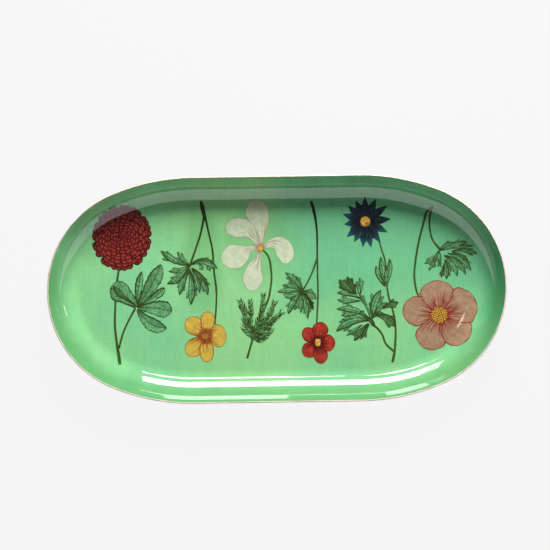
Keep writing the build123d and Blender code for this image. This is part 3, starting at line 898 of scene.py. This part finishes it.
def feathered(film, line, wide, barbs, barb_reach, lift):
    """Paint a fern frond: a soft blade under short dark barbs that lean forwards on both sides."""
    widths = np.array([0.4, 0.6, 0.5, 0.3]) * wide
    film.brush(line, widths, "point", lift, rows=24, columns=7, shade=0.15)
    count = 2 * barbs
    spine = smooth_line(line, np.linspace(0, 1, count + 1))
    for step in range(2, count + 1):
        heading = np.arctan2(*(spine[min(step + 1, count)] - spine[step - 1])[::-1])
        size = barb_reach * (1.45 - 0.6 * step / count) * draw.uniform(0.65, 1.25)
        for side in (-1, 1):
            elbow = spine[step] + 0.55 * size * towards(heading + side * radians(44 + draw.uniform(-9, 9)))
            end = elbow + 0.45 * size * towards(heading + side * radians(20))
            dark = 1.0 if draw.random() < 0.6 else 0.25
            raised = lift + 0.08 + 0.02 * (step % 2)
            film.brush([spine[step], elbow, end], [0.6, 1.1, 0.8], "point", raised, 7, 3, shade=dark)
    film.brush(line, [1.4, 1.2, 1.0, 0.8], "point", lift + 0.13, rows=24, columns=3, shade=0.8)


film = Film(white_flower)
fern_hub = (-24.8, -51)
fronds = (  # line after the hub, width, barbs and their reach
    ([(-16, -51), (-9.5, -46), (-5.5, -41)], 3.5, 8, 4.5),
    ([(-31, -38), (-32.5, -24), (-36.8, -12.5)], 6, 13, 6.2),
    ([(-15, -43), (-5, -33), (4.3, -24)], 6.5, 14, 5.6),
    ([(-26.5, -36), (-26, -22), (-26.8, -12)], 6, 12, 5),
    ([(-15, -38), (-8, -26), (-2.5, -14)], 6.5, 12, 5.2),
    ([(-19, -36), (-15, -22), (-13.6, -6)], 7, 14, 5.4),
)
for order, (line, wide, barbs, barb_reach) in enumerate(fronds):
    feathered(film, [fern_hub, *line], wide, barbs, barb_reach, 0.34 + 0.04 * order)
film.finish("fern_leaf", "leaf_green", fern_paint)

film = Film(white_flower)
petal_rows = 26
# Painted shade: the far petal's end, which reaches up the far wall, is darkened
far_end_painted_shade = 0.35 * np.linspace(0, 1, petal_rows)[:, None] ** 6  # the far petal darkens at its end
for line, widths, lift, bluntness, shade in (
    ([(-16, 43), (-15.2, 55), (-17.0, 66), (-19.2, 75), (-22.6, 84), (-25.4, 89.5)],
     [4, 7.5, 18, 23, 20, 15], 0.50, 0.2, far_end_painted_shade),
    ([(-18, 43), (-24, 53), (-31, 60), (-40, 61.8), (-51.5, 59.5)],
     [4, 9, 17.5, 22, 21], 0.56, 0.4, 0.0),
    ([(-18.5, 41.5), (-28, 40.3), (-36, 35.5), (-45, 32), (-56, 29)],
     [4, 8, 21, 26, 22], 0.62, 0.4, 0.0),
    ([(-17.5, 38.5), (-19.5, 30), (-23, 20.5), (-24.3, 11), (-25, -2)],
     [4, 7, 16, 21, 19], 0.68, 0.36, 0.0),
    ([(-14.5, 41.8), (-7.5, 45.2), (-1, 46.2), (5.5, 42.5), (8.6, 35), (8, 25.4)],
     [4, 8, 13.5, 18.5, 18, 15], 0.60, 0.3, 0.0),
):
    film.brush(line, widths, lift=lift, rows=petal_rows, columns=11, bluntness=bluntness, shade=shade)
film.finish("white_flower_petals", "petal_white")

film = Film(white_flower)
film.disc(white_flower.heart, 3.3, lift=0.95)
film.finish("white_flower_heart", "heart_gold")

# -------------------- red flower

red_flower = Plant("red_flower_heart", (41.3, -54))

film = Film(red_flower)
main_line = [(34.3, 88.5), (36.2, 82), (38.7, 71), (40.2, 58), (40.5, 40), (40.8, 20), (41.3, -5),
             (40.7, -22), (40, -36)]
stem(film, main_line, [2.6, 3.1, 2.5, 2.0, 1.8, 1.8, 1.8, 1.7, 1.6], rows=72, lift=0.35, shade=(1.1, -1.2))
stem(film, [(40.5, 31), (36, 18), (31, 7), (25.5, -2)], [1.8, 1.7, 1.7, 2.0], rows=24, bluntness=0.02)
film.finish("red_flower_stems", "stem_green")

film = Film(red_flower)
hub = (25.8, -2.5)
leaf(film, hub, [
    ((12.5, 12.5), 5.5, 0.10, 0.1),
    ((18.5, 13.5), 4.5, -0.08, 0.5),
    ((8.2, 16.8), 7, -0.06, 0.0),
    ((5.2, 4.2), 5.5, -0.06, 0.2),
    ((7.5, -8), 6, 0.10, 0.1),
    ((0.3, -3), 7.5, -0.05, 0.0),
    ((13, -12), 5, 0.06, 0.2),
    ((11.2, -25.5), 8.5, -0.07, 0.0),
    ((18, -21), 5, 0.05, 0.3),
    ((24, -24.5), 5, 0.0, 0.2),
    ((35, -21), 5.5, 0.05, 0.2),
    ((31.2, -30.5), 7, 0.03, 0.0),
    ((37, -21.5), 4.5, 0.07, 1.0),
    ((37.5, -4), 5, 0.10, 0.1),
    ((40, -10.5), 6, 0.08, 0.1),
])
film.finish("red_flower_leaf", "leaf_green")

film = Film(red_flower)
paint_petals(film, [
    ([(40, -53), (35, -48.5), (27, -40)], [7, 14, 14.5], 0.5),
    ([(40, -55), (35, -59.5), (27, -67)], [7, 15.5, 16], 0.5),
    ([(41.5, -56), (43.5, -63.5), (45, -75.2)], [7, 14, 13.5], 0.45),
    ([(43.5, -54), (50, -54.3), (58.7, -54)], [7, 16, 18], 0.5),
    ([(42, -52), (43.2, -44), (45, -33.2)], [7, 15, 16], 0.45),
])
throat_lines(film, red_flower.heart, (136, 222, 280, 0, 80), start=3, longest=11)
film.finish("red_flower_petals", "petal_scarlet")

film = Film(red_flower)
film.brush([(41.5, -50.2), (41.2, -54), (41.6, -57.8)], [5.2, 5.8, 5.2], lift=0.95, bluntness=0.4, rows=17)
film.finish("red_flower_heart", "heart_gold")

# -------------------- cornflower

cornflower = Plant("cornflower_heart", (89, 68))

film = Film(cornflower)
main_line = [(102.5, 50), (105.5, 39), (108.5, 30), (110, 18), (110.5, 5), (113, -10), (117, -23),
             (119.3, -37), (119.3, -52), (118.5, -63), (116.3, -74)]
stem(film, main_line, [1.5, 1.6, 1.7, 1.8, 1.8, 1.9, 2.0, 2.1, 2.2, 2.4, 2.9], rows=76)
side_line = [(95, -35), (101, -39.5), (106, -46), (109.5, -55), (118, -63)]
stem(film, side_line, [2.6, 2.2, 2.0, 2.0, 2.2], rows=30, lift=0.28, bluntness=0.02)
film.finish("cornflower_stem", "stem_green")

film = Film(cornflower)
rays = [(79, 89.5), (88.5, 93), (100, 91), (111, 84), (115, 70.5), (111.5, 57), (104.5, 46.5), (95, 41.5),
        (86.5, 42), (77.5, 47), (70, 52), (67.5, 65), (66, 75.5), (71.5, 84)]
for order, end in enumerate(rays):
    run = np.array(end) - cornflower.heart
    # Painted shade: the rays that reach up and to the right, towards the far wall, are darker
    far_rays_painted_shade = 0.0 if end[1] < 60 or end[0] < 68 else 0.55
    line = [cornflower.heart + share * run for share in (0.12, 0.6, 1)]
    film.brush(line, [3.5, 8.8, 6.8], "point", 0.3 + 0.06 * order, rows=14, columns=7,
               shade=far_rays_painted_shade + 0.2 * draw.random())
for petal in range(13):
    way = towards(2 * pi * petal / 13 + 0.2)
    line = [cornflower.heart + reach * way for reach in (4, 10, 17)]
    film.brush(line, [3, 5.5, 4.5], "point", 1.15 + 0.03 * (petal % 3), rows=10, columns=5, shade=0.65)
film.finish("cornflower_petals", "cornflower_blue")

film = Film(cornflower)
film.disc(cornflower.heart, 5.2, lift=1.3)
film.disc(cornflower.heart + (1.8, -2.6), 2.3, lift=1.38, rows=9, shade=0.6)
film.finish("cornflower_heart", "heart_gold")

film = Film(cornflower)
bract_hub = (109.5, 3)
for line, widths, tip, lift, columns, shade in (
    ([(105, 10), (101.5, 17), (99.5, 23.5)], [3, 6, 6.5, 4], "leaf", 0.5, 7, 0.0),
    ([(107, 14), (105.3, 24), (104.5, 33)], [3, 6, 6.5, 4], "leaf", 0.58, 7, 0.0),
    ([(112, 13), (113.6, 22), (113.5, 31)], [3, 5.5, 6, 4], "leaf", 0.54, 7, 0.25),
    ([(109.5, 11), (110, 18), (109.8, 24)], [3, 4, 4.5, 3], "point", 0.64, 5, 0.25),
):
    film.brush([bract_hub, *line], widths, tip, lift, columns=columns, shade=shade)
film.finish("cornflower_bracts", "leaf_green")

film = Film(cornflower)
hub = (94.5, -31.5)
leaf(film, hub, [
    ((81, -2), 4.5, -0.06, 0.25),
    ((59.8, -20.3), 9, -0.12, 0.0),
    ((64, -26.5), 5.5, 0.05, 0.1, (88, -22)),
    ((60.6, -11), 7, 0.02, 0.0, (84, -12)),
    ((60.4, -4), 8, -0.10, 0.0, (84, -10)),
    ((79.5, 8), 3.5, -0.04, 0.2, (82, -5)),
    ((83, 11.5), 6, -0.08, 0.0, (84, -5)),
    ((76, 6.5), 6, 0.02, 0.75, (79.5, -4.5)),
    ((70.5, 12.5), 9, 0.03, 0.75, (80, -5)),
    ((62.5, 9.8), 9.5, 0.08, 0.62, (80, -5)),
    ((64.8, -31), 7, -0.06, 0.1),
    ((59.4, -43), 10, -0.12, 0.0),
    ((70, -47), 5.5, 0.0, 0.15, (86, -36)),
    ((85.4, -50), 7, -0.05, 0.5, (93, -35)),
    ((77.8, -52.5), 8.5, -0.04, 0.55, (92, -35)),
    ((96, -10), 5, 0.06, 0.1, (96, -29)),
    ((104.8, -1), 10.5, 0.08, 0.0, (96, -30)),
    ((112, -14), 7, 0.10, 0.1, (98, -26)),
    ((122.6, -13.5), 8, 0.02, 0.6, (106, -19)),
    ((108, -25), 5.5, 0.15, 0.1, (97, -29)),
    ((118.4, -38), 11.5, 0.14, 0.55, (99, -26)),
])
film.brush([(91.5, -29), (95, -32.5), (98.5, -37.5)], [3, 4.6, 2.6], lift=0.95, columns=5, shade=0.8)
film.finish("cornflower_leaf", "leaf_green")

# -------------------- anemone

anemone = Plant("anemone_boss", (163.5, -26))

film = Film(anemone)
main_line = [(156, 82.5), (151.5, 79), (148, 68), (145, 57), (142, 44), (139.7, 30), (138.3, 12), (140, 0),
             (143.5, -10)]
stem(film, main_line, [2.0, 2.2, 2.0, 2.0, 2.0, 2.0, 2.0, 2.0, 1.9], rows=64, shade=(0.6, -0.6))
side_line = [(156.5, 83.5), (154.2, 75), (154, 60), (156.5, 50), (164, 40)]
stem(film, side_line, [2.2, 2.0, 1.8, 1.8, 2.4], rows=36, lift=0.34, shade=(0.6, -0.6))
film.finish("anemone_stems", "stem_green")

film = Film(anemone)
hub = (163, 38.5)
leaf(film, hub, [
    ((148.3, 25.5), 6, 0.08, 0.1),
    ((152.5, 18.3), 5.5, 0.03, 0.15),
    ((158.5, 21), 4.5, -0.06, 0.3, (158, 32)),
    ((161.5, 22), 3.5, 0.14, 0.35),
    ((167, 21), 3, -0.18, 0.5),
    ((165, 11.5), 5.5, 0.06, 0.8, (168, 26)),
    ((170.5, 9.5), 6.5, 0.05, 0.35, (169, 30)),
    ((175, 16.5), 3.5, 0.08, 0.5, (170, 30)),
    ((181.5, 12.5), 6.5, 0.12, 0.0, (168, 34)),
    ((190, 14), 6, 0.14, 0.3, (170, 34)),
    ((195.5, 18.2), 7, 0.12, 0.0, (172, 36)),
    ((193, 27.5), 4.5, 0.10, 0.6, (176, 37)),
    ((201.8, 35.5), 6.5, 0.08, 0.3, (176, 38)),
    ((198.3, 43.5), 5.2, 0.04, 0.35),
    ((191.5, 48.3), 6, 0.03, 0.0),
    ((178.5, 47), 5.5, 0.10, 0.2),
])
film.finish("anemone_leaf", "leaf_green")

film = Film(anemone)
# Each petal's direction in degrees, reach and width
petals = ((170, 37.5, 31), (-111, 37, 32), (-42, 38, 34), (22, 39.5, 38), (97, 35, 34))
for order, (turn, reach, wide) in enumerate(petals):
    way = towards(radians(turn))
    line = [anemone.heart + out * way for out in (3, 0.5 * reach, reach)]
    film.brush(line, [11, wide * 0.93, wide], lift=0.5 + 0.07 * order, rows=28, columns=17, bluntness=0.45)
throat_lines(film, anemone.heart, [turn for turn, _, _ in petals], start=8, longest=27)
film.finish("anemone_petals", "anemone_pink")

film = Film(anemone)
film.disc(anemone.heart, 8.5, lift=0.9, rows=25, shade=0.85)
golden_angle = radians(137.5)
grains = 52
for grain in range(grains):
    out = 8.2 * ((grain + 0.5) / grains) ** 0.5
    film.disc(anemone.heart + out * towards(grain * golden_angle), 0.84, lift=1.1, rows=7)
film.finish("anemone_boss", "heart_gold")

# -------------------- stage, lights and camera


def grey(value):
    return (value, value, value, 1.0)


def staged_sheet(name, corners, material, shown=True):
    """A flat sheet beside the object. One that isn't shown appears only in mirrors."""
    mesh = bpy.data.meshes.new(name)
    mesh.from_pydata([[c * metres for c in corner] for corner in corners], [], [range(len(corners))])
    mesh.materials.append(material)
    piece = bpy.data.objects.new(name, mesh)
    bpy.context.scene.collection.objects.link(piece)
    piece.visible_camera = shown
    piece.visible_diffuse = shown
    piece.visible_shadow = shown


def stage_floor():
    """A wide pale floor that stays evenly bright and takes only a trace of shadow."""
    material = bpy.data.materials.new("pale_floor")
    graph = Graph(material)
    soft = graph.wire("BsdfDiffuse", {"Color": grey(0.025)})
    glow = graph.wire("Emission", {"Color": grey(0.895), "Strength": 1.0})
    graph.add("OutputMaterial", {0: graph.wire("AddShader", {0: soft, 1: glow})})
    half = 6000.0
    low = -0.3
    corners = [(-half, -half, low), (half, -half, low), (half, half, low), (-half, half, low)]
    staged_sheet("floor", corners, material)


def aimed_panel(name, azimuth, elevation, distance, size, radiance, glossy=True, diffuse=True):
    """A rectangular light that faces the tray's middle. Angles are in degrees, lengths in millimetres."""
    light = bpy.data.lights.new(name, "AREA")
    light.shape = "RECTANGLE"
    light.size, light.size_y = size[0] * metres, size[1] * metres
    light.energy = radiance * pi * light.size * light.size_y
    azimuth, elevation = radians(azimuth), radians(elevation)
    way = (cos(elevation) * cos(azimuth), cos(elevation) * sin(azimuth), sin(elevation))
    holder = bpy.data.objects.new(name, light)
    holder.location = [distance * c * metres for c in way]
    holder.rotation_euler = (pi / 2 - elevation, 0, azimuth + pi / 2)
    holder.visible_glossy = glossy
    holder.visible_diffuse = diffuse
    holder.visible_camera = False
    bpy.context.scene.collection.objects.link(holder)


def mirrored_sheet(name, corners, radiance, tint=(1.0, 1.0, 1.0)):
    """A glowing sheet through corner points that only mirrors show."""
    material = bpy.data.materials.new(name)
    graph = Graph(material)
    glow = graph.wire("Emission", {"Color": (*tint, 1.0), "Strength": radiance})
    graph.add("OutputMaterial", {0: glow})
    staged_sheet(name, corners, material, shown=False)


def upright_sheet(name, outline, radiance):
    """A mirrored sheet that stands behind the far wall. outline has (x, z) corners."""
    mirrored_sheet(name, [(x, panel_distance, z) for x, z in outline], radiance)


def glint(name, start, end, width, radiance):
    """A streak of light that the lacquer mirrors to the camera between two points on the tray."""
    start, end = np.array(start), np.array(end)
    way = (end - start) / np.hypot(*(end - start))
    side = np.array([-way[1], way[0]]) * width / 2
    corners = []
    for x, y in (start - side, end - side, end + side, start + side):
        place = np.array([x, y, surface_height(x, y, coat)])
        slope_x = surface_height(x + 0.5, y, coat) - surface_height(x - 0.5, y, coat)
        slope_y = surface_height(x, y + 0.5, coat) - surface_height(x, y - 0.5, coat)
        facing = np.array([-slope_x, -slope_y, 1.0])
        facing /= np.linalg.norm(facing)
        sight = place - camera_place
        sight /= np.linalg.norm(sight)
        corners.append(place + (sight - 2 * (sight @ facing) * facing) * glint_distance)
    mirrored_sheet(name, corners, radiance, (1.0, 0.86, 0.72))


def surroundings():
    """The room, dim overhead and bright along the horizon. Mirrors see darkness and a pale card."""
    world = bpy.data.worlds.new("studio")
    bpy.context.scene.world = world
    graph = Graph(world)
    _, y, z = graph.axes(graph.wire("TexCoord", {}, "Generated"))
    drop = graph.math("MULTIPLY_ADD", y, -1.5, 0.1, clamp=True)
    above = z - drop * sin(radians(card_top))
    card = graph.rise(above, 0.012, -0.012) * graph.rise(y, 0.12, 0.0)
    mirrored = graph.mix(card, grey(0.10), grey(card_glow))
    horizon = graph.rise(z, sin(radians(horizon_top)), 0.0)
    room = graph.mix(horizon, grey(room_glow), grey(horizon_glow))
    tone = graph.mix(graph.wire("LightPath", {}, "Is Glossy Ray"), room, mirrored)
    tone = graph.mix(graph.wire("LightPath", {}, "Is Camera Ray"), tone, grey(0.922))
    shell = graph.wire("Background", {"Color": tone, "Strength": 1.0})
    graph.add("OutputWorld", {0: shell})


card_top = 50.0  # elevation of the card's upper edge, in degrees
card_glow = 2.4
room_glow = 0.11
horizon_top = 16.0  # elevation where the bright horizon ends, in degrees
horizon_glow = 0.9
panel_distance = 900.0
glint_distance = 150.0
camera_roll = radians(-0.86)
camera_right, camera_up = -1.9, 14.1  # the camera's place over the tray, along its own axes
camera_height = 4000.0
camera_place = np.array([
    camera_right * cos(camera_roll) - camera_up * sin(camera_roll),
    camera_right * sin(camera_roll) + camera_up * cos(camera_roll),
    camera_height,
])

stage_floor()
surroundings()
aimed_panel("key", azimuth=79, elevation=27, distance=1200, size=(620, 466), radiance=33.0, glossy=False)
aimed_panel("front_fill", azimuth=-60, elevation=35, distance=1300, size=(600, 500), radiance=2.4,
            glossy=False)

# The near wall's bend mirrors the softbox as its outer bright band and the strips as its inner one
upright_sheet("mirrored_softbox", [
    (-132, 443), (112, 443), (112, 490), (10, 490), (4, 560), (111, 560), (108, 928), (-290, 928),
    (-215, 800),
], 60.0)
upright_sheet("mirrored_curtain", [(-235, 460), (-145, 443), (-290, 928), (-335, 928)], 14.0)
upright_sheet("mirrored_strip", [(-155, 1570), (31, 1570), (15, 1730), (-130, 1730)], 60.0)
upright_sheet("mirrored_strip_end", [(31, 1570), (104, 1570), (100, 1650), (31, 1650)], 60.0)
upright_sheet("mirrored_strip_start", [(-220, 1570), (-155, 1570), (-155, 1640), (-310, 1640)], 12.0)
aimed_panel("mirrored_window", azimuth=14, elevation=24, distance=900, size=(120, 60), radiance=14.0,
            diffuse=False)
glint("glint_on_petal", (193.0, -18.0), (186.5, -34.0), 1.3, 14.0)
glint("glint_beside_petal", (188.5, -28.0), (180.5, -42.0), 0.8, 12.0)


def catalogue_camera():
    """Looks straight down, framed and rolled as a catalogue picture of the tray."""
    picture = 550.0  # width of view at the tray's rim
    data = bpy.data.cameras.new("camera")
    rim_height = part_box("rim_line")[1].z / metres
    data.sensor_width = 36.0
    data.lens = data.sensor_width * (camera_height - rim_height) / picture
    data.clip_end = 100.0
    camera = bpy.data.objects.new("camera", data)
    camera.location = camera_place * metres
    camera.rotation_euler = (0, 0, camera_roll)
    bpy.context.scene.collection.objects.link(camera)
    bpy.context.scene.camera = camera


catalogue_camera()
bpy.context.scene.view_settings.view_transform = "Standard"
